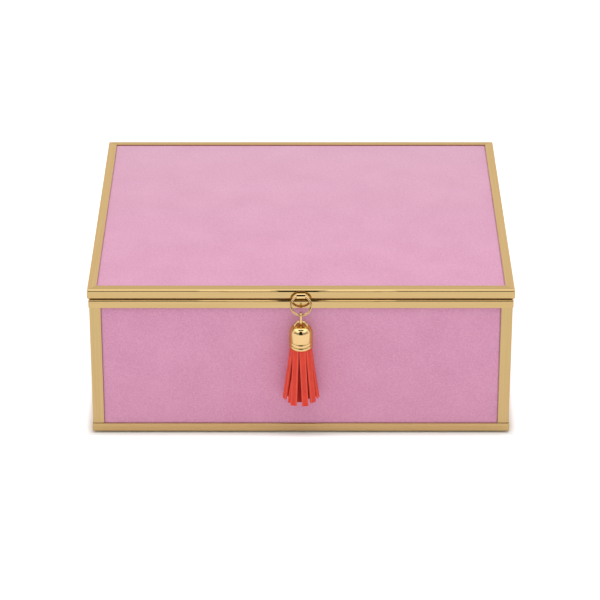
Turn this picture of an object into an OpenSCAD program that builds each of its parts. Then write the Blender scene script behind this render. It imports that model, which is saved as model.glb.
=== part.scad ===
// Suede and brass jewelry box with a hinged lid and a tassel pull.
// Origin: centre of the base's underside. -Y is the front, +Z is up.

/* [Box] */
// Width over the lid's bands
box_w = 203; // [180:1:240]
// Depth over the lid's bands
box_d = 180.5; // [160:0.5:210]
// Height from the table to the top of the lid
box_h = 77.1; // [70:0.1:100]

/* [Panels] */
// Thickness of the suede-covered wall and floor boards
board_t = 3; // [2.5:0.1:4]
// Thickness of the lining pads on the walls and floor
lining_t = 2; // [1.5:0.1:3]
// Height of the walls' lining above the underside
lining_top = 67.2; // [50:0.1:67.3]
// Thickness of the felt under the base
felt_t = 1.98; // [1.6:0.01:2.4]

/* [Brass strips] */
// Width of each leg of the corner posts
post_w = 5.5; // [4:0.1:8]
// Sheet thickness of the corner posts
post_t = 0.45; // [0.4:0.01:0.6]
// Gap between a post's foot and the bottom band
post_foot_gap = 0.3; // [0.1:0.05:0.5]
// Sheet thickness of the rim and bottom bands
band_t = 0.78; // [0.7:0.01:0.9]
// Height of the rim bands
rim_h = 4.25; // [3.5:0.05:6]
// Height of the bottom bands
bottom_h = 4.35; // [3:0.05:6]
// Width of the bottom bands' lip under the floor board
bottom_lip_w = 6; // [4:0.1:9]
// Height of the bottom bands above the table
bottom_lift = 0.8; // [0.8:0.05:1.4]
// Sheet thickness of the lid bands
lid_t = 0.45; // [0.4:0.01:0.6]
// Height of the lid bands
lid_h = 4.8; // [4.5:0.1:8]
// Flange width of the lid's front band
lid_flange_front = 5.1; // [4:0.1:7]
// Flange width of the lid's other bands
lid_flange = 4.4; // [4:0.1:7]
// How far the lid stands out past the rim on each side
lid_overhang = 0.5; // [0.3:0.01:0.6]
// Gap between the closed lid and the rim
lid_gap = 0.6; // [0.1:0.05:0.8]
// Radius of the bands' long bent edges
edge_r = 1.0; // [0.85:0.05:1.2]
// Radius of the bands' upright corners
corner_r = 0.7; // [0.5:0.05:1]
// Gap left at each mitred joint
seam = 0.06; // [0.04:0.01:0.1]

/* [Hinges] */
// Distance of each hinge from the middle
hinge_x = 60; // [30:1:70]
// Width of a hinge
hinge_w = 14; // [12:0.5:20]
// Outer radius of the knuckles
knuckle_r = 1.15; // [1.1:0.01:1.15]
// Radius of the hinge pins
pin_r = 0.6; // [0.5:0.01:0.62]
// Angle at which the stop heel meets the base leaf
lid_open = 100; // [95:1:105]

/* [Lid pull] */
// Width of the rolled tab
tab_w = 4.25; // [3.5:0.05:6]
// Inner radius of the tab's roll
tab_r = 0.95; // [0.9:0.01:1]
// Wire diameter of the pull ring
ring_wire = 1.1; // [0.8:0.05:1.2]
// Mid-wire radius of the pull ring
ring_r = 4.8; // [4.7:0.05:5.5]
// Forward lean of the hanging ring
ring_lean = 14; // [14:0.5:22]
// Wire diameter of the tassel link
link_wire = 1; // [0.8:0.05:1]

/* [Tassel] */
// Outer radius of the cap
cap_r = 5.55; // [5.2:0.05:5.6]
// Height of the cap's straight part
cap_side_h = 7.3; // [5:0.1:9]
// Height of the cap's dome
cap_dome_h = 4.2; // [3.8:0.1:5]
// Wire diameter of the cap's eye
eye_wire = 0.9; // [0.7:0.05:0.9]
// Mid-wire radius of the cap's eye
eye_r = 2.9; // [2.6:0.1:3]
// Length of the suede strips below the cap
strip_l = 29.2; // [20:0.1:30]
// Width of a suede strip
strip_w = 2.5; // [2:0.1:2.5]
// Thickness of a suede strip
strip_t = 1; // [0.8:0.05:1]
// Sideways radius of the strips at their lower ends
skirt_x = 8.5; // [6:0.1:10]
// Fore-and-aft radius of the strips at their lower ends
skirt_y = 5.5; // [5:0.1:6]

/* [Interior] */
// Height of the dividers above the underside
divider_top = 57; // [40:1:63]
// Thickness of the dividers
divider_t = 3; // [2:0.1:4]
// Share of the inner width that the ring rolls take
ring_share = 0.62; // [0.4:0.01:0.7]

/* [Hidden] */
$fn = 64;

suede_pink = "#D196B4";
brass = "#D3B578";
lining_pink = "#DDAFC4";
coral = "#E25544";
felt_grey = "#8A8088";

// Heights
felt_play = 0.6;
floor_top = felt_t + board_t;
pad_top = floor_top + lining_t;
bottom_top = bottom_lift + bottom_h;
lid_low = box_h - lid_h;
rim_top = lid_low - lid_gap;
rim_low = rim_top - rim_h;
wall_top = rim_top - band_t;

// Plan sizes: outer faces of the bands and boards, then the lined room
band_w = box_w - 2 * lid_overhang;
band_d = box_d - 2 * lid_overhang;
wall_w = band_w - 2 * band_t;
wall_d = band_d - 2 * band_t;
inner_w = wall_w - 2 * board_t;
inner_d = wall_d - 2 * board_t;
room_w = inner_w - 2 * lining_t;
room_d = inner_d - 2 * lining_t;
rim_w = 2 * band_t + board_t;
mouth_w = band_w - 2 * rim_w;
mouth_d = band_d - 2 * rim_w;
mitre = 5;

// Hinges: the axis runs along X just behind the rear bands
hinge_y = box_d / 2 + 1.25;
hinge_z = rim_top + lid_gap / 2;
leaf_t = 0.5;
leaf_margin = 0.2;
leaf_play = 0.1;
lid_leaf_h = 2.8;
knuckle_gap = 0.2;
lid_knuckle_w = 6.6;
outer_knuckle_w = (hinge_w - lid_knuckle_w) / 2 - knuckle_gap;
pin_play = 0.04;
pin_press = 0.01;
pin_head_r = 0.9;
pin_head_h = 0.3;
heel_l = 3;
heel_t = 0.6;
heel_play = 0.05;

// Lid lining
lid_lining_play = 0.8;
lid_lining_drop = 1.4;

// Pull chain, worked out from the tab's roll downwards
tab_t = 0.5;
tab_foot = 0.3;
tab_y = -box_d / 2 - 2.2;
tab_z = box_h - 2.05;
ring_drop = ring_r - 0.24;
ring_y = tab_y - ring_drop * sin(ring_lean);
ring_z = tab_z - ring_drop * cos(ring_lean);
ring_low_z = ring_z - ring_r * cos(ring_lean);
tassel_y = ring_y - ring_r * sin(ring_lean);
link_r = 1.25;
link_l = 3.05;
eye_z = ring_low_z - link_l - 0.1;

// Tassel
cap_top = eye_z - 1.8;
cap_spring = cap_top - cap_dome_h;
cap_low = cap_spring - cap_side_h;
cap_wall = 0.5;
root_play = 0.15;
strip_top = cap_low + 2.5;
strip_twist = 8;

// Interior layout
row_d = (room_d - divider_t) / 2;
ring_w = room_w * ring_share;
ring_x1 = ring_w - room_w / 2;
roll_pitch = row_d / 5;
roll_gap = 0.3;
roll_r = roll_pitch / 2 - roll_gap;
roll_lift = 0.05;

// ---- shared shapes ----

// A block given by its low corner and its size
module block(low, size) {
    translate(low) cube(size);
}

// A rectangle from the origin whose two corners at x = 0 are rounded
module edged(w, h, r_low, r_high) {
    translate([0, r_low]) square([w, h - r_low - r_high]);
    translate([r_low, 0]) square([w - r_low, h / 2]);
    translate([r_high, h / 2]) square([w - r_high, h / 2]);
    translate([r_low, r_low]) circle(r_low);
    translate([r_high, h - r_high]) circle(r_high);
}

// A rectangle from the origin whose two upper corners are rounded
module capped(w, h, r) {
    square([w, h - r]);
    translate([r, 0]) square([w - 2 * r, h]);
    translate([r, h - r]) circle(r);
    translate([w - r, h - r]) circle(r);
}

// The plan of a box with rounded upright corners
module rounded_plan(w, d) {
    square([w - 2 * corner_r, d], center = true);
    square([w, d - 2 * corner_r], center = true);
    for (x = [-1, 1], y = [-1, 1])
        translate([x * (w / 2 - corner_r), y * (d / 2 - corner_r)]) circle(corner_r);
}

// The plan area of the front strip, between mitres that run through the flanges' inner corners
module front_area(w, d, side, front) {
    x = w / 2 - seam / 2;
    polygon([[-x, -d / 2], [x, -d / 2],
        [x - 2 * side, 2 * front - d / 2], [2 * side - x, 2 * front - d / 2]]);
}

// The plan area of the left strip
module left_area(w, d, side, front, rear) {
    y = d / 2 - seam / 2;
    polygon([[-w / 2, -y], [2 * side - w / 2, 2 * front - y],
        [2 * side - w / 2, y - 2 * rear], [-w / 2, y]]);
}

// A strip along the front: its profile's x runs inwards from the face and its y runs up
module front_strip(w, d, side, front) {
    intersection() {
        translate([-w / 2, -d / 2, 0]) rotate([90, 0, 90]) linear_extrude(w) children();
        linear_extrude(box_h) front_area(w, d, side, front);
        linear_extrude(box_h) rounded_plan(w, d);
    }
}

// A strip along the left side
module left_strip(w, d, side, front, rear) {
    intersection() {
        translate([-w / 2, d / 2, 0]) rotate([90, 0, 0]) linear_extrude(d) children();
        linear_extrude(box_h) left_area(w, d, side, front, rear);
        linear_extrude(box_h) rounded_plan(w, d);
    }
}

// ---- base: felt and boards ----

module base_felt() {
    w = band_w - 2 * bottom_lip_w - felt_play;
    d = band_d - 2 * bottom_lip_w - felt_play;
    color(felt_grey) block([-w / 2, -d / 2, 0], [w, d, felt_t]);
}

module floor_panel() {
    color(suede_pink) block([-wall_w / 2, -wall_d / 2, felt_t], [wall_w, wall_d, board_t]);
}

module front_panel() {
    color(suede_pink) block([-wall_w / 2, -wall_d / 2, floor_top],
        [wall_w, board_t, wall_top - floor_top]);
}

module rear_panel() {
    mirror([0, 1, 0]) front_panel();
}

module left_panel() {
    color(suede_pink) block([-wall_w / 2, -inner_d / 2, floor_top],
        [board_t, inner_d, wall_top - floor_top]);
}

module right_panel() {
    mirror([1, 0, 0]) left_panel();
}

// ---- base: brass strips ----

// An angle with a bent corner and softened free edges
module post_plan() {
    soft = post_t / 2;
    difference() {
        union() {
            translate([corner_r, 0]) square([post_w - soft - corner_r, post_t]);
            translate([0, corner_r]) square([post_t, post_w - soft - corner_r]);
            intersection() {
                translate([corner_r, corner_r]) circle(corner_r);
                square(corner_r);
            }
        }
        translate([post_t, post_t]) square(post_w);
    }
    translate([post_w - soft, soft]) circle(soft);
    translate([soft, post_w - soft]) circle(soft);
}

module corner_post_front_left() {
    low = bottom_top + post_foot_gap;
    color(brass) translate([-wall_w / 2 - post_t, -wall_d / 2 - post_t, low])
        linear_extrude(rim_low - low) post_plan();
}

module corner_post_front_right() {
    mirror([1, 0, 0]) corner_post_front_left();
}

module corner_post_rear_left() {
    mirror([0, 1, 0]) corner_post_front_left();
}

module corner_post_rear_right() {
    mirror([0, 1, 0]) corner_post_front_right();
}

// An angle: an upright face and a lip under the floor board
module bottom_profile() {
    top_r = 0.3;
    low_r = 0.8;
    translate([0, bottom_lift]) difference() {
        edged(bottom_lip_w, bottom_h, low_r, top_r);
        translate([band_t, felt_t - bottom_lift]) square([bottom_lip_w, bottom_h]);
    }
}

module bottom_band_front() {
    color(brass) front_strip(band_w, band_d, mitre, mitre) bottom_profile();
}

module bottom_band_rear() {
    mirror([0, 1, 0]) bottom_band_front();
}

module bottom_band_left() {
    color(brass) left_strip(band_w, band_d, mitre, mitre, mitre) bottom_profile();
}

module bottom_band_right() {
    mirror([1, 0, 0]) bottom_band_left();
}

// A channel turned down over the top edge of a wall
module rim_profile() {
    translate([0, rim_low]) difference() {
        capped(rim_w, rim_h, edge_r);
        translate([band_t, -1]) square([board_t, rim_h + 1 - band_t]);
    }
}

module rim_band_front() {
    color(brass) front_strip(band_w, band_d, mitre, mitre) rim_profile();
}

module rim_band_rear() {
    mirror([0, 1, 0]) rim_band_front();
}

module rim_band_left() {
    color(brass) left_strip(band_w, band_d, mitre, mitre, mitre) rim_profile();
}

module rim_band_right() {
    mirror([1, 0, 0]) rim_band_left();
}

// ---- hinges ----

// A cylinder along X about the hinge axis, centred at x
module axle(x, length, r) {
    translate([x - length / 2, hinge_y, hinge_z]) rotate([0, 90, 0]) cylinder(h = length, r = r);
}

// A plate on the rear rim band that turns in under the two outer knuckles
module base_leaf() {
    web_top = hinge_z - knuckle_r + leaf_t;
    low = rim_low + leaf_margin;
    outer_x = (lid_knuckle_w + outer_knuckle_w) / 2 + knuckle_gap;
    difference() {
        union() {
            block([-hinge_w / 2, band_d / 2, low], [hinge_w, leaf_t, web_top - low]);
            for (side = [-1, 1]) {
                axle(side * outer_x, outer_knuckle_w, knuckle_r);
                block([side * outer_x - outer_knuckle_w / 2, band_d / 2, web_top - leaf_t],
                    [outer_knuckle_w, hinge_y - band_d / 2, leaf_t]);
            }
        }
        axle(0, hinge_w + 2, pin_r + pin_press);
    }
}

module hinge_base_leaf_left() {
    color(brass) translate([-hinge_x, 0, 0]) base_leaf();
}

module hinge_base_leaf_right() {
    color(brass) translate([hinge_x, 0, 0]) base_leaf();
}

module hinge_pin() {
    axle(0, hinge_w, pin_r);
    for (side = [-1, 1])
        axle(side * (hinge_w + pin_head_h) / 2, pin_head_h, pin_head_r);
}

module hinge_pin_left() {
    color(brass) translate([-hinge_x, 0, 0]) hinge_pin();
}

module hinge_pin_right() {
    color(brass) translate([hinge_x, 0, 0]) hinge_pin();
}

// A plate on the lid's rear band, the middle knuckle, and the heel that stops the lid
module lid_leaf() {
    plate_low = hinge_z + knuckle_r + pin_press + leaf_play;
    web_low = hinge_z + knuckle_r - leaf_t;
    heel_face = hinge_y - band_d / 2 - leaf_t - heel_play;
    difference() {
        union() {
            block([-hinge_w / 2, box_d / 2, plate_low], [hinge_w, leaf_t, lid_leaf_h]);
            block([-lid_knuckle_w / 2, box_d / 2, web_low],
                [lid_knuckle_w, leaf_t, plate_low - web_low]);
            block([-lid_knuckle_w / 2, box_d / 2, web_low],
                [lid_knuckle_w, hinge_y - box_d / 2, leaf_t]);
            axle(0, lid_knuckle_w, knuckle_r);
            translate([0, hinge_y, hinge_z]) rotate([lid_open, 0, 0])
                block([-lid_knuckle_w / 2, -heel_face, -heel_l], [lid_knuckle_w, heel_t, heel_l]);
        }
        axle(0, hinge_w, pin_r + pin_play);
    }
}

module hinge_lid_leaf_left() {
    color(brass) translate([-hinge_x, 0, 0]) lid_leaf();
}

module hinge_lid_leaf_right() {
    color(brass) translate([hinge_x, 0, 0]) lid_leaf();
}

// ---- lining and interior ----

module floor_lining() {
    color(lining_pink) block([-room_w / 2, -room_d / 2, floor_top], [room_w, room_d, lining_t]);
}

module wall_lining_front() {
    color(lining_pink) block([-inner_w / 2, -inner_d / 2, floor_top],
        [inner_w, lining_t, lining_top - floor_top]);
}

module wall_lining_rear() {
    mirror([0, 1, 0]) wall_lining_front();
}

module wall_lining_left() {
    color(lining_pink) block([-inner_w / 2, -room_d / 2, floor_top],
        [lining_t, room_d, lining_top - floor_top]);
}

module wall_lining_right() {
    mirror([1, 0, 0]) wall_lining_left();
}

// The end view of a divider, with a round top edge
module divider_end() {
    h = divider_top - pad_top;
    square([divider_t, h - divider_t / 2]);
    translate([divider_t / 2, h - divider_t / 2]) circle(divider_t / 2);
}

// A divider from front to back, given by its low corner
module cross_divider(x, y, length) {
    translate([x, y + length, pad_top]) rotate([90, 0, 0]) linear_extrude(length) divider_end();
}

module divider_long() {
    color(lining_pink) translate([-room_w / 2, -divider_t / 2, pad_top])
        rotate([90, 0, 90]) linear_extrude(room_w) divider_end();
}

module divider_front() {
    color(lining_pink) cross_divider(ring_x1, -room_d / 2, row_d);
}

module divider_rear() {
    color(lining_pink) cross_divider(-divider_t / 2, divider_t / 2, row_d);
}

// Ring rolls fill the front left section, numbered from the front
module ring_roll(number) {
    y = roll_pitch * (number - 0.5) - room_d / 2;
    color(lining_pink) translate([-room_w / 2 + roll_gap, y, pad_top + roll_r + roll_lift])
        rotate([0, 90, 0]) cylinder(h = ring_w - 2 * roll_gap, r = roll_r);
}

module ring_roll_1() {
    ring_roll(1);
}

module ring_roll_2() {
    ring_roll(2);
}

module ring_roll_3() {
    ring_roll(3);
}

module ring_roll_4() {
    ring_roll(4);
}

module ring_roll_5() {
    ring_roll(5);
}

// ---- lid ----

module lid_panel() {
    w = box_w - 2 * lid_t;
    d = box_d - 2 * lid_t;
    color(suede_pink) block([-w / 2, -d / 2, lid_low + lid_t], [w, d, lid_h - 2 * lid_t]);
}

// A channel that holds the lid's board
module lid_profile(flange) {
    translate([0, lid_low]) difference() {
        edged(flange, lid_h, edge_r, edge_r);
        translate([lid_t, lid_t]) square([flange, lid_h - 2 * lid_t]);
    }
}

module lid_band_front() {
    color(brass) front_strip(box_w, box_d, lid_flange, lid_flange_front)
        lid_profile(lid_flange_front);
}

module lid_band_rear() {
    color(brass) mirror([0, 1, 0])
        front_strip(box_w, box_d, lid_flange, lid_flange) lid_profile(lid_flange);
}

module lid_band_left() {
    color(brass) left_strip(box_w, box_d, lid_flange, lid_flange_front, lid_flange)
        lid_profile(lid_flange);
}

module lid_band_right() {
    mirror([1, 0, 0]) lid_band_left();
}

// A covered card under the lid's board that drops just inside the rim
module lid_lining() {
    w = mouth_w - 2 * lid_lining_play;
    d = mouth_d - 2 * lid_lining_play;
    color(lining_pink) block([-w / 2, -d / 2, lid_low - lid_lining_drop],
        [w, d, lid_lining_drop + lid_t]);
}

// ---- pull and tassel ----

// A strap rolled into an eye and closed by a foot on the lid's front band
module pull_tab() {
    reach = -box_d / 2 - tab_y;
    color(brass) translate([-tab_w / 2, tab_y, tab_z]) rotate([90, 0, 90])
        linear_extrude(tab_w) difference() {
            union() {
                circle(tab_r + tab_t);
                translate([0, -tab_r - tab_t]) square([reach, 2 * (tab_r + tab_t)]);
            }
            circle(tab_r);
            translate([0, -tab_r]) square([reach - tab_foot, 2 * tab_r]);
        }
}

module pull_ring() {
    color(brass) translate([0, ring_y, ring_z]) rotate([90 - ring_lean, 0, 0])
        rotate_extrude() translate([ring_r, 0]) circle(d = ring_wire);
}

// A half turn of wire standing in the plane across the front, open downwards
module arch(r, wire) {
    rotate([90, 0, 0]) rotate_extrude(angle = 180) translate([r, 0]) circle(d = wire);
}

// An oval of wire that joins the pull ring and the cap's eye
module tassel_link() {
    color(brass) translate([0, tassel_y, ring_low_z]) rotate([0, 0, 90]) {
        arch(link_r, link_wire);
        translate([0, 0, -link_l]) mirror([0, 0, 1]) arch(link_r, link_wire);
        for (side = [-1, 1])
            translate([side * link_r, 0, -link_l]) cylinder(h = link_l, d = link_wire);
    }
}

// Half of the cap's outline: a straight side below an elliptical dome
module cap_half(r, dome_h) {
    step = 7.5;
    polygon(concat([[0, cap_low], [r, cap_low]],
        [for (a = [0:step:90]) [r * cos(a), cap_spring + dome_h * sin(a)]]));
}

module tassel_cap() {
    groove_r = 0.3;
    color(brass) translate([0, tassel_y, 0]) {
        rotate_extrude() difference() {
            cap_half(cap_r, cap_dome_h);
            cap_half(cap_r - cap_wall, cap_dome_h - cap_wall);
            for (z = [2.4, 4.1])
                translate([cap_r, cap_low + z]) circle(groove_r);
        }
        translate([0, 0, eye_z - eye_r]) arch(eye_r, eye_wire);
    }
}

// The rolled suede head that is glued into the cap
module tassel_root() {
    r = cap_r - cap_wall - root_play;
    color(coral) translate([0, tassel_y, strip_top])
        cylinder(h = cap_spring - strip_top, r = r);
}

// A flat strip whose outer face runs from a point at its top to one at its foot
module strip(turn, top, foot) {
    drop = strip_top - cap_low + strip_l;
    run = foot - top;
    out = run * [sin(turn), -cos(turn)];
    along = run * [cos(turn), sin(turn)];
    length = norm([drop, out, along]);
    translate([top[0], top[1], strip_top]) rotate([0, 0, turn])
        rotate([-atan(out / drop), -atan(along / drop), 0])
            block([-strip_w / 2, 0, -length], [strip_w, strip_t, length]);
}

// A layer of strips round the root: each leaves the cap at radius top_r and leans out to an oval
module strip_layer(count, start, top_r, foot_x, foot_y) {
    for (i = [0:count - 1]) {
        a = start + 360 / count * i;
        foot_a = a + strip_twist;
        strip((a + foot_a) / 2, top_r * [sin(a), -cos(a)],
            [foot_x * sin(foot_a), -foot_y * cos(foot_a)]);
    }
}

module tassel_strands() {
    color(coral) translate([0, tassel_y, 0]) {
        strip_layer(9, 8, 4.5, skirt_x, skirt_y);
        strip_layer(4, 30, 2.4, skirt_x / 2, skirt_y / 2);
    }
}

base_felt();
floor_panel();
front_panel();
rear_panel();
left_panel();
right_panel();
corner_post_front_left();
corner_post_front_right();
corner_post_rear_left();
corner_post_rear_right();
bottom_band_front();
bottom_band_rear();
bottom_band_left();
bottom_band_right();
rim_band_front();
rim_band_rear();
rim_band_left();
rim_band_right();
hinge_base_leaf_left();
hinge_base_leaf_right();
hinge_pin_left();
hinge_pin_right();
floor_lining();
wall_lining_front();
wall_lining_rear();
wall_lining_left();
wall_lining_right();
divider_long();
divider_front();
divider_rear();
ring_roll_1();
ring_roll_2();
ring_roll_3();
ring_roll_4();
ring_roll_5();
lid_panel();
lid_band_front();
lid_band_rear();
lid_band_left();
lid_band_right();
lid_lining();
hinge_lid_leaf_left();
hinge_lid_leaf_right();
pull_tab();
pull_ring();
tassel_link();
tassel_cap();
tassel_root();
tassel_strands();
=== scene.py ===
import math
import bmesh
import bpy
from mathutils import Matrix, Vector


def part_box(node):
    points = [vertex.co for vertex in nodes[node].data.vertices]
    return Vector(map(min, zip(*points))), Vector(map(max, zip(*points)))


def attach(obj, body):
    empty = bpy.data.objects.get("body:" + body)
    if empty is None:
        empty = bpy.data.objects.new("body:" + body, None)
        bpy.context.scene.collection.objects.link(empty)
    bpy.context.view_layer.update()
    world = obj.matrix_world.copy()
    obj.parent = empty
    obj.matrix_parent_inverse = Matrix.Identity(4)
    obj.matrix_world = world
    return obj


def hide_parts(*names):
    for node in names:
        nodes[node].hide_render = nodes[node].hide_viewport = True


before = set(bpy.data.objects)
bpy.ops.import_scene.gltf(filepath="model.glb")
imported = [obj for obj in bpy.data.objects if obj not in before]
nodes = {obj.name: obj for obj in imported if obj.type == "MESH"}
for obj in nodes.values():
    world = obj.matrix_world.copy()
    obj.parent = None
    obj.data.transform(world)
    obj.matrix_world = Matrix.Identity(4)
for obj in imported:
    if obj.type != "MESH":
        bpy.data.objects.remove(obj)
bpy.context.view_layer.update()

bpy.ops.object.select_all(action="DESELECT")
print("stage: frame loaded with", len(nodes), "nodes")

mm = 0.001


def middle(node):
    low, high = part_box(node)
    return [(a + b) / 2 for a, b in zip(low, high)]


def fromHex(code):  # sRGB hex to the linear values that the shader takes
    values = [int(code[i:i + 2], 16) / 255 for i in (0, 2, 4)]
    return tuple(v / 12.92 if v <= 0.04045 else ((v + 0.055) / 1.055) ** 2.4 for v in values) + (1,)


def addNode(tree, kind, inputs=None, **settings):
    node = tree.nodes.new(kind)
    for name, value in settings.items():
        setattr(node, name, value)
    for name, value in (inputs or {}).items():
        if isinstance(value, bpy.types.NodeSocket):
            tree.links.new(value, node.inputs[name])
        else:
            node.inputs[name].default_value = value
    return node


def newMaterial(name):
    material = bpy.data.materials.new(name)
    material.use_nodes = True
    tree = material.node_tree
    return material, tree, tree.nodes["Principled BSDF"]


def twoTones(tree, factor, low, high, start=0.3, end=0.7):  # fades between two colours
    ramp = addNode(tree, "ShaderNodeValToRGB", {"Fac": factor})
    ramp.color_ramp.elements[0].position = start
    ramp.color_ramp.elements[0].color = low
    ramp.color_ramp.elements[1].position = end
    ramp.color_ramp.elements[1].color = high
    return ramp.outputs["Color"]


camera = {
    "place": (-0.00045, -1.3296, 0.6775),
    "pitchDown": 26.04,
    "lens": 174.6,
}


def addCamera():
    data = bpy.data.cameras.new("camera")
    data.lens = camera["lens"]
    data.sensor_width = 36
    data.clip_start = 0.05
    data.clip_end = 50
    view = bpy.data.objects.new("camera", data)
    view.location = camera["place"]
    view.rotation_euler = (math.radians(90 - camera["pitchDown"]), 0, 0)
    bpy.context.collection.objects.link(view)
    bpy.context.scene.camera = view


addCamera()

light = {
    "sky": 0.71,                   # plain white all round
    "softbox": 13.6,               # watts of the softbox over the front of the box
    "softboxSize": (2.0, 1.2),
    "softboxPlace": (0, -0.34, 1.75),
    "floor": "FDFDFD",
    "floorGlow": 0.38,             # lifts the paper to white
    "mirroredGlow": 0.15,          # the same where the metal mirrors it
    "glowStarts": 0.6,             # mm from the box where both come in: nearer the box the paper is left unlifted, painted shade beside the box on top of its own shadow
    "glowFades": 5,                # and where each is full
    # farther out for the metal, so the floor it mirrors near the box is painted darker
    "mirroredFades": 16,
}
# Painted reflections: what the pull mirrors, glowing sheets shown to the metal alone that light nothing: glow, way to
# its left and right edges and heights of its lower and upper edges in degrees, seen from the cap's shoulder, and mm
# from it
tent = {
    "tent_slit": (0.01, -20, 16, 8, 60, 31),
    "tent_window_left": (1.6, -60, -27, 38, 66, 29),
    "tent_window_right": (1.6, 25, 58, 38, 66, 29),
    "tent_wall_left": (0.45, -50, -8, 4, 37, 33),
    "tent_wall_right": (0.45, 7, 50, 4, 37, 33),
}
# more painted reflections for the metal alone, as glow and two corners: the roof bright, the bar, rails and horizon
# dark
tentOver = {
    "tent_roof": (1.75, (-1.6, -0.70, 1.70), (1.6, 1.3, 1.70)),
    "tent_bar": (0.02, (-0.0118, -0.1085, 0.092), (0.0118, -0.0975, 0.092)),
    "tent_rail_left": (0.03, (-0.115, -0.1295, 0.0735), (-0.036, -0.1295, 0.0955)),
    "tent_rail_right": (0.03, (0.036, -0.1295, 0.0735), (0.115, -0.1295, 0.0955)),
    "tent_horizon": (0.02, (-0.14, -0.46, 0.06), (0.14, -0.46, 0.2)),   # the dark line along rounded edges
}


def lookingRays(tree):  # 1 for a camera ray, and 1 for a ray that a mirror or glass sends on
    path = addNode(tree, "ShaderNodeLightPath")
    inMetal = addNode(tree, "ShaderNodeMath", {0: path.outputs["Is Glossy Ray"],
                      1: path.outputs["Is Transmission Ray"]}, operation="MAXIMUM")
    return path.outputs["Is Camera Ray"], inMetal.outputs[0]


def addSky():
    world = bpy.data.worlds.new("studio")
    bpy.context.scene.world = world
    world.use_nodes = True
    tree = world.node_tree
    tree.nodes.clear()
    lit = addNode(tree, "ShaderNodeBackground", {"Color": (1, 1, 1, 1), "Strength": light["sky"]})
    seen = addNode(tree, "ShaderNodeBackground", {"Color": (1, 1, 1, 1), "Strength": 1.0})
    fromCamera, fromMetal = lookingRays(tree)
    looking = addNode(tree, "ShaderNodeMath", {0: fromCamera, 1: fromMetal}, operation="MAXIMUM")
    both = addNode(tree, "ShaderNodeMixShader", {0: looking.outputs[0], 1: lit.outputs[0], 2: seen.outputs[0]})
    addNode(tree, "ShaderNodeOutputWorld", {"Surface": both.outputs[0]})


def addSoftbox():
    data = bpy.data.lights.new("softbox", "AREA")
    data.shape = "RECTANGLE"
    data.size, data.size_y = light["softboxSize"]
    data.energy = light["softbox"]
    lamp = bpy.data.objects.new("softbox", data)
    lamp.location = light["softboxPlace"]
    lamp.visible_glossy = False    # the tent's roof stands for it in the metal
    bpy.context.collection.objects.link(lamp)


def addFloor():
    bpy.ops.mesh.primitive_plane_add(size=12, location=(0, 0, 0))
    floor = bpy.context.object
    floor.name = "floor"
    material, tree, surface = newMaterial("white_paper_floor")
    surface.inputs["Base Color"].default_value = fromHex(light["floor"])
    surface.inputs["Roughness"].default_value = 1
    surface.inputs["Specular IOR Level"].default_value = 0
    place = addNode(tree, "ShaderNodeTexCoord")
    apart = addNode(tree, "ShaderNodeSeparateXYZ", {0: place.outputs["Object"]})
    away = []
    # the glow grows with distance from the box's sides, so the floor next to the box is painted darker
    for axis, half in (("X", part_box("bottom_band_right")[1][0]), ("Y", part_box("bottom_band_rear")[1][1])):
        size = addNode(tree, "ShaderNodeMath", {0: apart.outputs[axis]}, operation="ABSOLUTE")
        away.append(addNode(tree, "ShaderNodeMath", {0: size.outputs[0], 1: half}, operation="SUBTRACT"))
    nearest = addNode(tree, "ShaderNodeMath", {0: away[0].outputs[0], 1: away[1].outputs[0]}, operation="MAXIMUM")
    fromCamera, fromMetal = lookingRays(tree)
    glow = 0
    for ray, level, fades in ((fromCamera, light["floorGlow"], light["glowFades"]),
                              (fromMetal, light["mirroredGlow"], light["mirroredFades"])):
        share = addNode(tree, "ShaderNodeMapRange", {"Value": nearest.outputs[0], "From Min": light["glowStarts"] * mm,
                        "From Max": fades * mm, "To Max": level}, interpolation_type="SMOOTHSTEP")
        seen = addNode(tree, "ShaderNodeMath", {0: ray, 1: share.outputs[0], 2: glow}, operation="MULTIPLY_ADD")
        glow = seen.outputs[0]
    tree.links.new(glow, surface.inputs["Emission Strength"])
    surface.inputs["Emission Color"].default_value = (1, 1, 1, 1)
    floor.data.materials.append(material)


# a glowing sheet that only mirrors see: a painted reflection, no lamp and no wall
def addTent(name, glow, low, high):
    bpy.ops.mesh.primitive_plane_add(size=1, location=[(a + b) / 2 for a, b in zip(low, high)])
    wall = bpy.context.object
    wall.name = name
    upright = high[2] > low[2]
    wall.scale = (high[0] - low[0], high[2] - low[2] if upright else high[1] - low[1], 1)
    wall.rotation_euler = (math.radians(90 if upright else 0), 0, 0)
    wall.visible_camera = False
    wall.visible_diffuse = False
    wall.visible_shadow = False
    material, tree, surface = newMaterial(name)
    surface.inputs["Base Color"].default_value = (0, 0, 0, 1)
    surface.inputs["Specular IOR Level"].default_value = 0
    surface.inputs["Emission Color"].default_value = (1, 1, 1, 1)
    surface.inputs["Emission Strength"].default_value = glow
    wall.data.materials.append(material)


bpy.context.scene.view_settings.view_transform = "Standard"
addSky()
addSoftbox()
addFloor()
shoulder = (0, -0.0990, 0.0595)    # of the tassel's cap
for name, (glow, left, right, under, over, away) in tent.items():
    edges = [math.tan(math.radians(way)) * away * mm for way in (left, right)]
    slant = away * mm / math.cos(math.radians((left + right) / 2))
    heights = [shoulder[2] + math.tan(math.radians(rise)) * slant for rise in (under, over)]
    front = shoulder[1] - away * mm
    addTent(name, glow, (edges[0], front, heights[0]), (edges[1], front, heights[1]))
for name, (glow, low, high) in tentOver.items():
    addTent(name, glow, low, high)
print("stage: camera and light")


suedeLook = {
    "light": "E4A4C3",
    "dark": "D38EB0",
    "napMm": 0.9,       # length of the short fibres, drawn a little coarse so that they show
    "cloudMm": 18,      # patches where the nap lies another way
    "cloud": 0.2,       # how much of the tone comes from the patches
    "relief": 0.4,
    "sheen": 0.58,
    "sheenTint": "F4FBF6",
}


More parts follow.
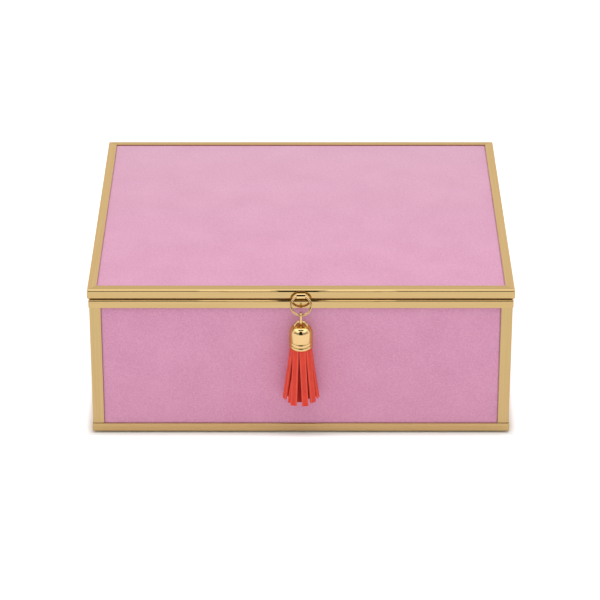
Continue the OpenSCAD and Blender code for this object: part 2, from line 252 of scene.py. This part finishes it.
def suedeCloth(name, look):
    # napped suede cloth, brushed after dyeing: fine mottling, no shine, a pale bloom at a low angle
    material, tree, surface = newMaterial(name)
    place = addNode(tree, "ShaderNodeTexCoord")
    cloud = addNode(tree, "ShaderNodeTexNoise", {"Vector": place.outputs["Object"],
                    "Scale": 1 / (look["cloudMm"] * mm), "Detail": 2, "Roughness": 0.5})
    nap = addNode(tree, "ShaderNodeTexNoise", {"Vector": place.outputs["Object"],
                  "Scale": 1 / (look["napMm"] * mm), "Detail": 3, "Roughness": 0.75})
    patches = addNode(tree, "ShaderNodeMath", {0: cloud.outputs["Fac"], 1: look["cloud"]}, operation="MULTIPLY")
    mottle = addNode(tree, "ShaderNodeMath", {0: nap.outputs["Fac"], 1: 1 - look["cloud"], 2: patches.outputs[0]},
                     operation="MULTIPLY_ADD")
    tone = twoTones(tree, mottle.outputs[0], fromHex(look["dark"]), fromHex(look["light"]), 0.36, 0.64)
    tree.links.new(tone, surface.inputs["Base Color"])
    relief = addNode(tree, "ShaderNodeBump", {"Height": nap.outputs["Fac"], "Strength": look["relief"],
                     "Distance": 0.12 * mm})
    tree.links.new(relief.outputs[0], surface.inputs["Normal"])
    surface.inputs["Roughness"].default_value = 0.95
    surface.inputs["Specular IOR Level"].default_value = look.get("shine", 0.2)
    surface.inputs["Sheen Weight"].default_value = look["sheen"]
    surface.inputs["Sheen Roughness"].default_value = 0.5
    surface.inputs["Sheen Tint"].default_value = fromHex(look["sheenTint"])
    return material


brassLook = {
    "colour": "CEB27D",
    "deep": "C5A66F",
    "edgeTint": "F5E6D4",   # keeps the gold at a low angle
    "lineMm": 0.35,     # spacing of the brushed lines, drawn coarser than the grit
    "streakMm": 60,     # how far one line runs
    "roughness": 0.09,
}


def brushedBrass(name, along, look):
    # brass strip, drawn and brushed along its length: fine long lines over a near mirror
    material, tree, surface = newMaterial(name)
    place = addNode(tree, "ShaderNodeTexCoord")
    fine = 1 / (look["lineMm"] * mm)
    long = 1 / (look["streakMm"] * mm)
    grain = tuple(long if axis == along else fine for axis in "XYZ")
    stretch = addNode(tree, "ShaderNodeMapping", {"Vector": place.outputs["Object"], "Scale": grain})
    lines = addNode(tree, "ShaderNodeTexNoise", {"Vector": stretch.outputs[0], "Scale": 1,
                    "Detail": 3, "Roughness": 0.6})
    tone = twoTones(tree, lines.outputs["Fac"], fromHex(look["deep"]), fromHex(look["colour"]))
    tree.links.new(tone, surface.inputs["Base Color"])
    rough = addNode(tree, "ShaderNodeMapRange", {"Value": lines.outputs["Fac"], "From Min": 0.3, "From Max": 0.7,
                    "To Min": look["roughness"] - 0.02, "To Max": look["roughness"] + 0.03})
    tree.links.new(rough.outputs[0], surface.inputs["Roughness"])
    relief = addNode(tree, "ShaderNodeBump", {"Height": lines.outputs["Fac"], "Strength": 0.1,
                     "Distance": 0.02 * mm})
    tree.links.new(relief.outputs[0], surface.inputs["Normal"])
    surface.inputs["Metallic"].default_value = 1
    surface.inputs["Specular Tint"].default_value = fromHex(look["edgeTint"])
    return material


polishLook = {"colour": "E4C28A", "roughness": 0.05, "edgeTint": "F8F040"}


def polishedBrass(name, look):
    # cast brass and wire, tumbled bright: a clear mirror with faint haze
    material, tree, surface = newMaterial(name)
    place = addNode(tree, "ShaderNodeTexCoord")
    haze = addNode(tree, "ShaderNodeTexNoise", {"Vector": place.outputs["Object"], "Scale": 1 / (1.5 * mm),
                   "Detail": 2})
    rough = addNode(tree, "ShaderNodeMapRange", {"Value": haze.outputs["Fac"], "To Min": look["roughness"] - 0.02,
                    "To Max": look["roughness"] + 0.04})
    tree.links.new(rough.outputs[0], surface.inputs["Roughness"])
    surface.inputs["Base Color"].default_value = fromHex(look["colour"])
    surface.inputs["Metallic"].default_value = 1
    surface.inputs["Specular Tint"].default_value = fromHex(look["edgeTint"])
    return material


coralLook = {
    "light": "EA4936", "dark": "D83B2C", "paleEdge": "FA6A54",
    "napMm": 0.45, "cloudMm": 5, "cloud": 0.4, "relief": 0.5, "sheen": 0, "sheenTint": "F4785F", "shine": 0.5,
}


def splitSuede(name, look):
    # split suede dyed through and cut in strips: matt, short nap, paler along the cut edges
    material = suedeCloth(name, look)
    tree = material.node_tree
    surface = tree.nodes["Principled BSDF"]
    tone = surface.inputs["Base Color"].links[0].from_socket
    across = addNode(tree, "ShaderNodeUVMap", uv_map="strip")
    apart = addNode(tree, "ShaderNodeSeparateXYZ", {0: across.outputs["UV"]})
    side = addNode(tree, "ShaderNodeMath", {0: apart.outputs["X"], 1: 0.5}, operation="SUBTRACT")
    edge = addNode(tree, "ShaderNodeMath", {0: side.outputs[0]}, operation="ABSOLUTE")
    # paler towards both cut edges of each strip
    paleEdge = addNode(tree, "ShaderNodeMapRange", {"Value": edge.outputs[0], "From Min": 0.25, "From Max": 0.47,
                     "To Min": 0, "To Max": 0.6})
    paler = addNode(tree, "ShaderNodeMix", {"Factor": paleEdge.outputs[0], "A": tone, "B": fromHex(look["paleEdge"])},
                    data_type="RGBA")
    tree.links.new(paler.outputs["Result"], surface.inputs["Base Color"])
    return material


innerShadeLook = dict(coralLook, light="C0261C", dark="A61C15", paleEdge="D23A2E")   # the inner strips painted a darker red: painted shade deep in the gaps between the outer strips
liningLook = {
    "light": "E6C0D3", "dark": "DFB6CB", "napMm": 0.6, "cloudMm": 12, "cloud": 0.3, "relief": 0.3,
    "sheen": 0.35, "sheenTint": "F8E9F1",
}
feltLook = {
    "light": "8E858C", "dark": "756C73", "napMm": 0.9, "cloudMm": 9, "cloud": 0.3, "relief": 0.8,
    "sheen": 0.3, "sheenTint": "C9C2C7",
}
suede = suedeCloth("pink_suede_cloth", suedeLook)
liningSuede = suedeCloth("lining_suede_cloth", liningLook)
felt = suedeCloth("pressed_wool_felt", feltLook)
coral = splitSuede("coral_split_suede", coralLook)
coralInnerShade = splitSuede("coral_split_painted_shade", innerShadeLook)
coralWound = suedeCloth("coral_suede_wound", coralLook)
brassAcross = brushedBrass("brushed_brass_across", "X", brassLook)
# lit and shaded copies of the one brass: the side strips are painted a paler tone and the posts a darker one, standing
# for how the light falls on them
brassSidesPaintedLight = brushedBrass("brushed_brass_sides_painted_light", "Y", dict(brassLook, colour="D8BA86", deep="CFAE78"))
brassPostsPaintedShade = brushedBrass("brushed_brass_posts_painted_shade", "Z", dict(brassLook, colour="C8AE7C", deep="BFA26D"))
brassBright = polishedBrass("polished_brass", polishLook)


def finishFor(name):
    if name in ("pull_ring", "tassel_link", "tassel_cap", "pull_tab"):
        return brassBright
    # the posts take the darker copy and the side strips the paler one: painted light and shade
    if name.startswith("corner_post"):
        return brassPostsPaintedShade
    if "band" in name and name.endswith(("left", "right")):
        return brassSidesPaintedLight
    return brassAcross


for name, node in nodes.items():
    for place in node.material_slots:
        place.material = finishFor(name)
print("stage: metal on the frame")


def makeActive(piece):
    bpy.ops.object.select_all(action="DESELECT")
    piece.select_set(True)
    bpy.context.view_layer.objects.active = piece


def newBlock(name, low, high):  # a block between two corners, its place in its mesh
    bpy.ops.object.select_all(action="DESELECT")
    bpy.ops.mesh.primitive_cube_add(size=1, location=[(a + b) / 2 for a, b in zip(low, high)])
    block = bpy.context.object
    block.name = name
    block.scale = [b - a for a, b in zip(low, high)]
    bpy.ops.object.transform_apply(location=True, rotation=True, scale=True)
    return block


def pick(piece, kind, test):  # in edit mode, leaves selected what passes the test
    bpy.ops.mesh.select_mode(type=kind)
    bpy.ops.mesh.select_all(action="DESELECT")
    shape = bmesh.from_edit_mesh(piece.data)
    for part in {"VERT": shape.verts, "EDGE": shape.edges, "FACE": shape.faces}[kind]:
        if test(part):
            part.select_set(True)
    bmesh.update_edit_mesh(piece.data)


def copyOf(piece, name, shift=(0, 0, 0)):  # with a mesh of its own
    twin = bpy.data.objects.new(name, piece.data.copy())
    bpy.context.collection.objects.link(twin)
    twin.location = shift
    makeActive(twin)
    bpy.ops.object.transform_apply(location=True, rotation=True, scale=True)
    return twin


def hand(piece, body, material, node=None, crease=35):  # finish, body and what it stands for
    makeActive(piece)
    bpy.ops.object.shade_smooth_by_angle(angle=math.radians(crease))
    piece.data.materials.clear()
    piece.data.materials.append(material)
    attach(piece, body)
    if node:
        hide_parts(node)


def middleOf(part):
    return sum((corner.co for corner in part.verts), part.verts[0].co * 0) / len(part.verts)


# Boards covered in suede: the cloth stands a little proud between the brass strips
boardLook = {"proud": 0.4, "shy": 0.2, "round": 0.4}


def coveredBoard(name, node, body, facing, windowLow, windowHigh):
    low, high = [list(corner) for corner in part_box(node)]
    axis = max(range(3), key=lambda i: abs(facing[i]))
    outer = high if facing[axis] > 0 else low
    outer[axis] -= facing[axis] * boardLook["proud"] * mm
    board = newBlock(name, low, high)
    bpy.ops.object.mode_set(mode="EDIT")
    for way in range(3):
        if way == axis:
            continue
        for spot, shy in ((windowLow[way], boardLook["shy"] * mm), (windowHigh[way], -boardLook["shy"] * mm)):
            bpy.ops.mesh.select_all(action="SELECT")
            across = [1 if i == way else 0 for i in range(3)]
            bpy.ops.mesh.bisect(plane_co=[spot + shy if i == way else 0 for i in range(3)], plane_no=across)

    def inWindow(face):
        spot = middleOf(face)
        outside = face.normal[axis] * facing[axis] > 0.9
        return outside and all(windowLow[i] < spot[i] < windowHigh[i] for i in range(3) if i != axis)

    pick(board, "FACE", inWindow)
    bpy.ops.mesh.extrude_region_move(TRANSFORM_OT_translate={
        "value": [f * boardLook["proud"] * mm for f in facing]})
    pick(board, "EDGE", lambda edge: edge.calc_face_angle(0) > 0.5 and all(
        abs(corner.co[axis] - (outer[axis] + facing[axis] * boardLook["proud"] * mm)) < 0.01 * mm
        for corner in edge.verts))
    bpy.ops.mesh.bevel(offset=boardLook["round"] * mm, segments=3, affect="EDGES")
    bpy.ops.object.mode_set(mode="OBJECT")
    hand(board, body, suede, node)
    return board


postIn = [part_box("corner_post_front_left")[1][0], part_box("corner_post_front_left")[1][1]]
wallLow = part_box("bottom_band_front")[1][2]
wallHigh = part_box("rim_band_front")[0][2]
coveredBoard("suede_board_front", "front_panel", "base", (0, -1, 0),
             (postIn[0], -1, wallLow), (-postIn[0], 1, wallHigh))
coveredBoard("suede_board_rear", "rear_panel", "base", (0, 1, 0),
             (postIn[0], -1, wallLow), (-postIn[0], 1, wallHigh))
coveredBoard("suede_board_left", "left_panel", "base", (-1, 0, 0),
             (-1, postIn[1], wallLow), (1, -postIn[1], wallHigh))
coveredBoard("suede_board_right", "right_panel", "base", (1, 0, 0),
             (-1, postIn[1], wallLow), (1, -postIn[1], wallHigh))
coveredBoard("suede_board_lid", "lid_panel", "lid", (0, 0, 1),
             (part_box("lid_band_left")[1][0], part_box("lid_band_front")[1][1], -1),
             (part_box("lid_band_right")[0][0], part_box("lid_band_rear")[0][1], 1))
lip = 6 * mm   # width of the bottom strips' lips under the floor
floorLow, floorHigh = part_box("floor_panel")
coveredBoard("suede_board_floor", "floor_panel", "base", (0, 0, -1),
             (floorLow[0] + lip, floorLow[1] + lip, -1), (floorHigh[0] - lip, floorHigh[1] - lip, 1))
print("stage: boards covered")


# Lining cards: foam-backed suede, its borders sunk softly
liningSteps = ((0.7, 0.28), (1.4, 0.12), (3.5, 0.05))   # inset and rise of each step


def liningCard(name, node, body, facing):
    low, high = [list(corner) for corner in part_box(node)]
    axis = max(range(3), key=lambda i: abs(facing[i]))
    outer = high if facing[axis] > 0 else low
    outer[axis] -= facing[axis] * sum(rise for inset, rise in liningSteps) * mm
    card = newBlock(name, low, high)
    bpy.ops.object.mode_set(mode="EDIT")
    pick(card, "FACE", lambda face: face.normal[axis] * facing[axis] > 0.9)
    for inset, rise in liningSteps:
        bpy.ops.mesh.inset(thickness=inset * mm, depth=rise * mm)
    pick(card, "EDGE", lambda edge: all(abs(corner.co[axis] - outer[axis]) < 0.01 * mm for corner in edge.verts))
    bpy.ops.mesh.bevel(offset=0.3 * mm, segments=3, affect="EDGES")
    bpy.ops.object.mode_set(mode="OBJECT")
    hand(card, body, liningSuede, node, 60)
    return card


liningCard("lining_floor_card", "floor_lining", "base", (0, 0, 1))
liningCard("lining_front_card", "wall_lining_front", "base", (0, 1, 0))
liningCard("lining_rear_card", "wall_lining_rear", "base", (0, -1, 0))
liningCard("lining_left_card", "wall_lining_left", "base", (1, 0, 0))
liningCard("lining_right_card", "wall_lining_right", "base", (-1, 0, 0))
liningCard("lining_lid_card", "lid_lining", "lid", (0, 0, -1))


# Dividers: thin boards with the suede folded over the top edge
dividerLook = {"fold": 1.3, "soft": 0.35}


def coveredDivider(name, node):
    low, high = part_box(node)
    divider = newBlock(name, low, high)
    bpy.ops.object.mode_set(mode="EDIT")
    pick(divider, "EDGE", lambda edge: all(corner.co[2] < low[2] + 0.01 * mm for corner in edge.verts))
    bpy.ops.mesh.bevel(offset=dividerLook["soft"] * mm, segments=2, affect="EDGES")
    along = 0 if high[0] - low[0] > high[1] - low[1] else 1
    pick(divider, "EDGE", lambda edge: all(corner.co[2] > high[2] - 0.01 * mm for corner in edge.verts)
         and abs(edge.verts[0].co[along] - edge.verts[1].co[along]) > 1 * mm)
    bpy.ops.mesh.bevel(offset=dividerLook["fold"] * mm, segments=6, affect="EDGES")
    bpy.ops.object.mode_set(mode="OBJECT")
    hand(divider, "base", liningSuede, node)


for way in ("long", "front", "rear"):
    coveredDivider("divider_covered_" + way, "divider_" + way)
print("stage: lining and dividers")


# Ring rolls: foam rolls in suede, swollen by a short cloth simulation and then copied
rollLook = {"shy": 0.75, "voxel": 1.6, "pressure": 4, "frames": 20, "cap": 0.7, "fill": 0.8}


def newRoll(name, node):
    low, high = [list(corner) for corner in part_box(node)]
    centre = [(a + b) / 2 for a, b in zip(low, high)]
    radius = (high[2] - low[2]) / 2 - rollLook["shy"] * mm
    length = high[0] - low[0] - 0.6 * mm
    bpy.ops.object.select_all(action="DESELECT")
    bpy.ops.mesh.primitive_cylinder_add(vertices=48, radius=radius, depth=length, location=centre,
                                        rotation=(0, math.radians(90), 0))
    roll = bpy.context.object
    roll.name = name
    bpy.ops.object.transform_apply(location=True, rotation=True, scale=True)
    bpy.ops.object.mode_set(mode="EDIT")
    pick(roll, "EDGE", lambda edge: edge.calc_face_angle(0) > 1)
    bpy.ops.mesh.bevel(offset=1.6 * mm, segments=4, affect="EDGES")
    bpy.ops.object.mode_set(mode="OBJECT")
    swell(roll)
    return roll


def swell(piece):  # cloth under pressure, each point kept within the cap
    remesh = piece.modifiers.new("even", "REMESH")
    remesh.mode = "VOXEL"
    remesh.voxel_size = rollLook["voxel"] * mm
    makeActive(piece)
    bpy.ops.object.modifier_apply(modifier=remesh.name)
    start = [point.co.copy() for point in piece.data.vertices]
    cloth = piece.modifiers.new("cloth", "CLOTH")
    cloth.settings.quality = 5
    cloth.settings.use_pressure = True
    cloth.settings.uniform_pressure_force = rollLook["pressure"]
    cloth.settings.effector_weights.gravity = 0
    cloth.point_cache.frame_start = 1
    cloth.point_cache.frame_end = rollLook["frames"]
    for frameNumber in range(1, rollLook["frames"] + 1):
        bpy.context.scene.frame_set(frameNumber)
    bpy.ops.object.modifier_apply(modifier=cloth.name)
    bpy.context.scene.frame_set(1)
    cap = rollLook["cap"] * mm
    for point, before in zip(piece.data.vertices, start):
        move = point.co - before
        if move.length > cap:
            point.co = before + move * (cap / move.length)
    smooth = piece.modifiers.new("finer", "SUBSURF")
    smooth.levels = smooth.render_levels = 1
    bpy.ops.object.modifier_apply(modifier=smooth.name)


firstRoll = newRoll("ring_cushion_1", "ring_roll_1")
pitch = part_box("ring_roll_2")[0][1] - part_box("ring_roll_1")[0][1]
rolls = [firstRoll] + [copyOf(firstRoll, "ring_cushion_%d" % (i + 1), (0, i * pitch, 0)) for i in range(1, 5)]
for number, roll in enumerate(rolls, 1):
    hand(roll, "base", liningSuede, "ring_roll_%d" % number, 80)
print("stage: ring rolls")


def feltPad(name, node):  # pressed felt with a soft cut edge
    pad = newBlock(name, *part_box(node))
    bpy.ops.object.mode_set(mode="EDIT")
    pick(pad, "EDGE", lambda edge: True)
    bpy.ops.mesh.bevel(offset=0.3 * mm, segments=3, affect="EDGES")
    bpy.ops.object.mode_set(mode="OBJECT")
    hand(pad, "base", felt, node)


feltPad("felt_pad", "base_felt")


# The tassel: a turned cap with two beads, a wire eye, a rolled head and hanging strips of suede
tasselAxis = middle("tassel_cap")[1]
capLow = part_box("tassel_cap")[0][2]
capLook = {
    "radius": 5.5, "bead": 5.58, "groove": 5.3, "inside": 5.02, "straight": 7.3, "dome": 4.2, "full": 2.5, "steps": 72,
    "eyeRadius": 2.9, "eyeWire": 0.6, "eyeFeet": 10.4, "eyeSteps": 32,
}


def capOutline(look):  # radius and height, from the inner lip out and up to the top of the dome
    points = [(look["inside"], 0.3), (look["inside"] + 0.12, 0.08), (look["groove"], 0)]
    for low, high in ((0, 1.5), (1.5, 3.35)):   # the two beads
        for share in (0.08, 0.2, 0.35, 0.5, 0.65, 0.8, 0.92):
            swell = math.sin(math.pi * share)
            points.append((look["groove"] + (look["bead"] - look["groove"]) * swell, low + (high - low) * share))
        points.append((look["groove"], high))
    points += [(look["groove"] + 0.1, 3.42), (look["radius"] - 0.04, 3.65), (look["radius"], 3.95)]
    for turn in range(0, 91, 6):
        around = math.radians(min(turn, 89.999))
        points.append((look["radius"] * math.cos(around) ** (2 / look["full"]),
                       look["straight"] + look["dome"] * math.sin(around) ** (2 / look["full"])))
    return points


def drawLine(name, spots):  # a line drawn point by point; it stays in edit mode
    bpy.ops.object.select_all(action="DESELECT")
    bpy.ops.mesh.primitive_plane_add(size=1 * mm, location=(0, 0, 0))
    line = bpy.context.object
    line.name = name
    bpy.ops.object.mode_set(mode="EDIT")
    pick(line, "VERT", lambda point: point.index != 0)
    bpy.ops.mesh.delete(type="VERT")
    bpy.ops.mesh.select_all(action="SELECT")
    start = bmesh.from_edit_mesh(line.data).verts[:][0].co.copy()
    bpy.ops.transform.translate(value=[a - b for a, b in zip(spots[0], start)])
    for before, after in zip(spots, spots[1:]):
        bpy.ops.mesh.extrude_vertices_move(TRANSFORM_OT_translate={"value": [b - a for a, b in zip(before, after)]})
    return line


def newTurned(name, outline, low, steps):  # an outline spun about the tassel's axis
    turned = drawLine(name, [(r * mm, tasselAxis, low + h * mm) for r, h in outline])
    bpy.ops.mesh.select_all(action="SELECT")
    bpy.ops.mesh.spin(steps=steps, angle=2 * math.pi, center=(0, tasselAxis, low), axis=(0, 0, 1))
    bpy.ops.mesh.select_all(action="SELECT")
    bpy.ops.mesh.remove_doubles(threshold=0.001 * mm)
    bpy.ops.mesh.normals_make_consistent(inside=False)
    bpy.ops.object.mode_set(mode="OBJECT")
    return turned


def addEye(look):  # half a turn of wire, standing across the front on the dome
    feet = capLow + look["eyeFeet"] * mm
    bpy.ops.object.select_all(action="DESELECT")
    bpy.ops.mesh.primitive_circle_add(vertices=20, radius=look["eyeWire"] * mm, fill_type="NGON",
                                      location=(look["eyeRadius"] * mm, tasselAxis, feet))
    eye = bpy.context.object
    bpy.ops.object.transform_apply(location=True, rotation=True, scale=True)
    bpy.ops.object.mode_set(mode="EDIT")
    bpy.ops.mesh.select_all(action="SELECT")
    bpy.ops.mesh.spin(steps=look["eyeSteps"], angle=math.pi, center=(0, tasselAxis, feet), axis=(0, 1, 0))
    bpy.ops.mesh.select_all(action="SELECT")
    bpy.ops.mesh.normals_make_consistent(inside=False)
    for side in (-1, 1):
        pick(eye, "FACE", lambda face: face.normal[2] < -0.9 and middleOf(face)[0] * side > 0)
        bpy.ops.mesh.extrude_region_move(TRANSFORM_OT_translate={"value": (0, 0, -0.8 * mm)})
    bpy.ops.object.mode_set(mode="OBJECT")
    return eye


cap = newTurned("tassel_cap_turned", capOutline(capLook), capLow, capLook["steps"])
wall = cap.modifiers.new("wall", "SOLIDIFY")
wall.thickness = 0.4 * mm
wall.offset = -1
makeActive(cap)
bpy.ops.object.modifier_apply(modifier=wall.name)
eye = addEye(capLook)
bpy.ops.object.select_all(action="DESELECT")
eye.select_set(True)
cap.select_set(True)
bpy.context.view_layer.objects.active = cap
bpy.ops.object.join()
hand(cap, "tassel", brassBright, "tassel_cap", 50)


stripLook = {
    "width": 3.05, "thick": 0.95, "round": 0.2, "length": 31.9, "segments": 12, "top": 2.5, "topRadius": 4.4,
    "middleRadius": 1.5,
}
# angle at the cap, foot to the right of and behind the axis, angle at the foot, how much shorter it was cut
outerStrips = {
    "a": (-72, -7.8, 0.35, -64, 1.3), "c": (-32, -3.47, -4.85, -16, 0.2), "e": (8, 2.1, -5.05, 6, 0),
    "f": (48, 5.85, -2.7, 42, 0.8), "g": (88, 8.15, 2.2, 74, 1.0), "h": (128, 5.6, 4.5, 142, 0.5),
    "i": (168, 0.9, 4.95, 172, 0.1), "j": (208, -3.4, 4.9, 202, 0.6), "k": (248, -6.9, 3.6, 236, 0.9),
}
innerStrips = {
    "d": (-12, -0.6, -2.3, 2, 0.3), "l": (28, 4.05, -1.2, 24, 1.6), "m": (68, 6.5, 0.0, 60, 1.8),
    "n": (-58, -6.2, -0.2, -46, 2.4),
}
middleStrip = {"b": (-46, -5.1, -2.5, -26, 0)}


def newStrip(name, look):  # one straight strip from the origin down: a soft-cornered section drawn out
    bpy.ops.object.select_all(action="DESELECT")
    bpy.ops.mesh.primitive_plane_add(size=1, location=(0, 0, 0))
    strip = bpy.context.object
    strip.name = name
    strip.scale = (look["width"] * mm, look["thick"] * mm, 1)
    bpy.ops.object.transform_apply(location=True, rotation=True, scale=True)
    bpy.ops.object.mode_set(mode="EDIT")
    bpy.ops.mesh.select_all(action="SELECT")
    bpy.ops.mesh.bevel(offset=look["round"] * mm, segments=3, affect="VERTICES")
    bpy.ops.mesh.select_all(action="SELECT")
    for i in range(look["segments"]):
        bpy.ops.mesh.extrude_region_move(TRANSFORM_OT_translate={
            "value": (0, 0, -look["length"] / look["segments"] * mm)})
    bpy.ops.mesh.select_all(action="SELECT")
    bpy.ops.mesh.normals_make_consistent(inside=False)
    pick(strip, "EDGE", lambda edge: all(corner.co[2] < (0.05 - look["length"]) * mm for corner in edge.verts))
    bpy.ops.mesh.bevel(offset=0.15 * mm, segments=2, affect="EDGES")
    bpy.ops.object.mode_set(mode="OBJECT")
    layer = strip.data.uv_layers.active or strip.data.uv_layers.new()
    layer.name = "strip"
    for corner in strip.data.loops:
        spot = strip.data.vertices[corner.vertex_index].co
        layer.data[corner.index].uv = (spot[0] / (look["width"] * mm) + 0.5, -spot[2] / (look["length"] * mm))
    return strip


def hangStrip(strip, look, top, foot, shorter):  # row by row from the cap to the foot, turning as it goes
    topSpot, topTurn = top
    footSpot, footTurn = foot
    bpy.ops.object.mode_set(mode="EDIT")
    rows = look["segments"]
    for row in range(rows + 1):
        share = row / rows
        out = share ** 1.15
        shift = [a + (b - a) * out for a, b in zip(topSpot, footSpot)]
        height = -look["length"] * share * mm
        near = look["length"] / rows * 0.4 * mm
        pick(strip, "VERT", lambda point: abs(point.co[2] - height) < near and abs(point.co[0]) < 2 * mm
             and abs(point.co[1]) < 1 * mm)
        turn = topTurn + (footTurn - topTurn) * share
        bpy.ops.transform.rotate(value=-math.radians(turn), orient_axis="Z", center_override=(0, 0, 0))
        bpy.ops.transform.translate(value=(shift[0], shift[1] + tasselAxis, 0.5 + shorter * share * mm))
    bpy.ops.mesh.select_all(action="SELECT")
    bpy.ops.transform.translate(value=(0, 0, capLow + look["top"] * mm - 0.5))
    bpy.ops.object.mode_set(mode="OBJECT")


def addStrips(plans, radius, master, look):
    made = []
    for letter, (topTurn, footX, footY, footTurn, shorter) in plans.items():
        strip = copyOf(master, "tassel_strip_" + letter)
        around = math.radians(topTurn)
        topSpot = (radius * math.sin(around) * mm, -radius * math.cos(around) * mm)
        hangStrip(strip, look, (topSpot, topTurn), ((footX * mm, footY * mm), footTurn), shorter)
        made.append(strip)
    return made


masterStrip = newStrip("strip_master", stripLook)
innerLook = dict(stripLook, width=2.6, length=31.4, topRadius=2.9)
masterInner = newStrip("strip_master_inner", innerLook)
for strip in addStrips(outerStrips, stripLook["topRadius"], masterStrip, stripLook):
    hand(strip, "tassel", coral, "tassel_strands", 45)
# the inner strips take the darker red, painted shade inside the tassel
for strip in addStrips(innerStrips, innerLook["topRadius"], masterInner, innerLook):
    hand(strip, "tassel", coralInnerShade, "tassel_strands", 45)
for strip in addStrips(middleStrip, stripLook["middleRadius"], masterInner, innerLook):
    hand(strip, "tassel", coral, "tassel_strands", 45)
bpy.data.objects.remove(masterStrip)
bpy.data.objects.remove(masterInner)
print("stage: tassel strips")


# The tab: a strap rolled round the ring's wire, its tail soldered to the lid's front
tabLook = {
    "sheet": 0.16, "bend": 1.04, "out": 2.3, "upper": 0.36, "lower": -0.32, "soft": 0.05,
    "tail": ((1.42, -0.86), (1.2, -0.93), (0, -0.95), (0, -0.4), (1.05, -0.38), (1.25, -0.25)),
}


def rolledTab(name, node, look):
    low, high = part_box(node)
    face, middleZ = high[1], (low[2] + high[2]) / 2

    def bend(radius, last):  # from the roll's back over the top and the front to its underside
        turns = list(range(0, 181, 10)) + list(range(181, last, 10))
        return [(look["out"] - radius * math.cos(math.radians(turn)),
                 look["upper" if turn <= 180 else "lower"] + radius * math.sin(math.radians(turn))) for turn in turns]

    def loop(name, spots):
        line = drawLine(name, [(low[0], face - out * mm, middleZ + up * mm) for out, up in spots])
        bpy.ops.mesh.select_all(action="SELECT")
        bpy.ops.mesh.edge_face_add()
        bpy.ops.mesh.delete(type="ONLY_FACE")
        bpy.ops.object.mode_set(mode="OBJECT")
        return line

    tab = loop(name, bend(look["bend"], 320) + list(look["tail"]))
    loop("hollow", bend(look["bend"] - look["sheet"], 361))
    tab.select_set(True)
    bpy.context.view_layer.objects.active = tab
    bpy.ops.object.join()
    bpy.ops.object.mode_set(mode="EDIT")
    bpy.ops.mesh.select_all(action="SELECT")
    bpy.ops.mesh.fill(use_beauty=True)
    bpy.ops.mesh.select_all(action="SELECT")
    bpy.ops.mesh.extrude_region_move(TRANSFORM_OT_translate={"value": (high[0] - low[0], 0, 0)})
    bpy.ops.mesh.select_all(action="SELECT")
    bpy.ops.mesh.normals_make_consistent(inside=False)
    pick(tab, "EDGE", lambda edge: edge.calc_face_angle(0) > 1.2)
    bpy.ops.mesh.bevel(offset=look["soft"] * mm, segments=2, affect="EDGES")
    bpy.ops.object.mode_set(mode="OBJECT")
    hand(tab, "lid", brassBright, node, 20)
    return tab


rolledTab("pull_tab_rolled", "pull_tab", tabLook)


headLook = {"thick": 0.9, "pitch": 1.02, "inside": 0.75, "stepsPerTurn": 16, "turns": 3.9}


def woundHead(name, node, look):  # a strip of suede wound up tight and glued into the cap
    low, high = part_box(node)
    bpy.ops.object.select_all(action="DESELECT")
    bpy.ops.mesh.primitive_plane_add(size=1, location=(look["inside"] * mm, tasselAxis, (low[2] + high[2]) / 2),
                                     rotation=(math.radians(90), 0, 0))
    head = bpy.context.object
    head.name = name
    head.scale = (look["thick"] * mm, high[2] - low[2], 1)
    bpy.ops.object.transform_apply(location=True, rotation=True, scale=True)
    bpy.ops.object.mode_set(mode="EDIT")
    bpy.ops.mesh.select_all(action="SELECT")
    turn = 2 * math.pi / look["stepsPerTurn"]
    outward = look["pitch"] / look["stepsPerTurn"] * mm
    for step in range(1, int(look["turns"] * look["stepsPerTurn"]) + 1):
        bpy.ops.mesh.extrude_region_move(TRANSFORM_OT_translate={"value": (0, 0, 0)})
        bpy.ops.transform.rotate(value=turn, orient_axis="Z", center_override=(0, tasselAxis, 0))
        around = -step * turn
        bpy.ops.transform.translate(value=(outward * math.cos(around), outward * math.sin(around), 0))
    bpy.ops.mesh.select_all(action="SELECT")
    bpy.ops.mesh.normals_make_consistent(inside=False)
    bpy.ops.object.mode_set(mode="OBJECT")
    hand(head, "tassel", coralWound, node, 40)
    return head


head = woundHead("tassel_head_wound", "tassel_root", headLook)
print("stage: tab and wound head", [round(v / mm, 2) for v in head.dimensions])
